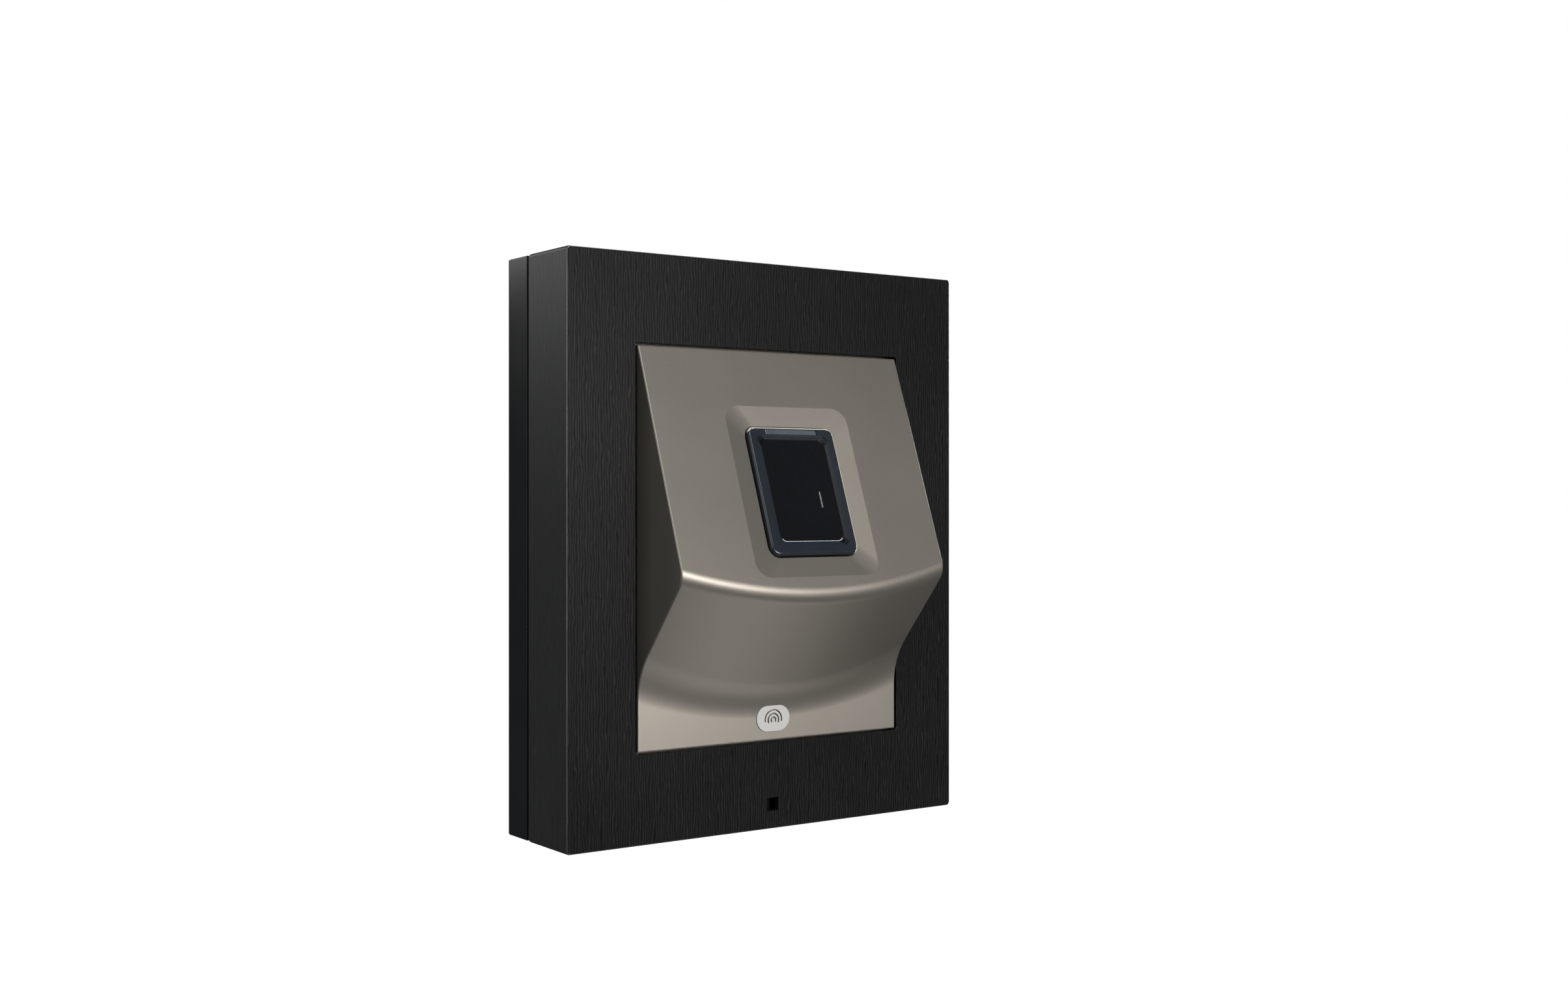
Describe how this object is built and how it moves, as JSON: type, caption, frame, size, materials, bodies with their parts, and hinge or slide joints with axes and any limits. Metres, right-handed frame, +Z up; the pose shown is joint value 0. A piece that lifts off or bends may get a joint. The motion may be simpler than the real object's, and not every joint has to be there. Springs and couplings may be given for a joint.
{
  "type": "fingerprint scanner terminal",
  "caption": "Wall-mounted fingerprint scanner: brushed black front frame hinged on a back box, with a cast metal reader face that slopes out to a rounded ridge.",
  "frame": {"origin": "centre of the flat rear face that lies on the wall", "axes": "+X to the right as seen by the user, +Y into the wall, +Z up; the finger sensor faces -Y"},
  "size_m": [0.107, 0.0479, 0.13],
  "materials": {
    "brushed_black": "black anodised, brushed upright in fine broken streaks",
    "box_plastic": "smooth moulded black, low sheen",
    "seal_rubber": "matt black rubber",
    "bare_steel": "bright turned steel",
    "cast_satin": "cast metal, fine satin blast with a warm nickel tone",
    "badge_finish": "pale satin print",
    "bezel_gloss": "polished blue-black moulding",
    "window_glass": "dark polished glass",
    "light_guide": "smoked translucent light guide",
    "board_green": "solder-resist green board",
    "led_white": "clear moulded lamp",
    "zinc_plate": "zinc-plated pressed steel",
    "connector_cream": "natural nylon",
    "ribbon_film": "flat cable film with copper tracks",
    "tray_plastic": "fine-grained black moulding",
    "chip_black": "epoxy chip package",
    "switch_case": "dark red switch case",
    "membrane_black": "black breathable film"
  },
  "bodies": {
    "back": {"back_box": "box_plastic", "wall_seal": "seal_rubber", "box_seal": "seal_rubber", "cable_grommet": "seal_rubber", "hinge_pins": "bare_steel"},
    "front": {"front_frame": "brushed_black", "port_membrane": "membrane_black", "port_retainer": "tray_plastic", "fascia_seal": "seal_rubber", "reader_fascia": "cast_satin", "badge": "badge_finish", "sensor_seal": "seal_rubber", "sensor_bezel": "bezel_gloss", "sensor_window": "window_glass", "light_bar": "light_guide", "sensor_body": "tray_plastic", "sensor_board": "board_green", "status_leds": "led_white", "sensor_clamp": "zinc_plate", "sensor_screws": "bare_steel", "ribbon_sockets": "connector_cream", "ribbon_cable": "ribbon_film", "module_tray": "tray_plastic", "main_board": "board_green", "board_chips": "chip_black", "board_screws": "bare_steel", "bus_sockets": "connector_cream", "tamper_switch": "switch_case", "module_screws": "bare_steel", "clamp_bars": "zinc_plate", "clamp_screws": "bare_steel"},
    "tamper_button": {"tamper_button": "connector_cream"},
    "lock_screw": {"lock_screw": "bare_steel"}
  },
  "joints": [
    {"name": "front_swing", "type": "hinge", "parent": "back", "child": "front", "pos_m": [0, -0.0113, 0.0635], "axis": [-1, 0, 0], "range_deg": [0, 90]},
    {"name": "tamper_press", "type": "slide", "parent": "front", "child": "tamper_button", "axis": [0, 1, 0], "range_m": [0, 0.0016]},
    {"name": "lock_travel", "type": "slide", "parent": "front", "child": "lock_screw", "axis": [0, 0, 1], "range_m": [0, 0.0022]}
  ],
  "couplings": [
    {"joint": "tamper_press", "follows": "front_swing", "m_per_rad": 0.001018}
  ]
}
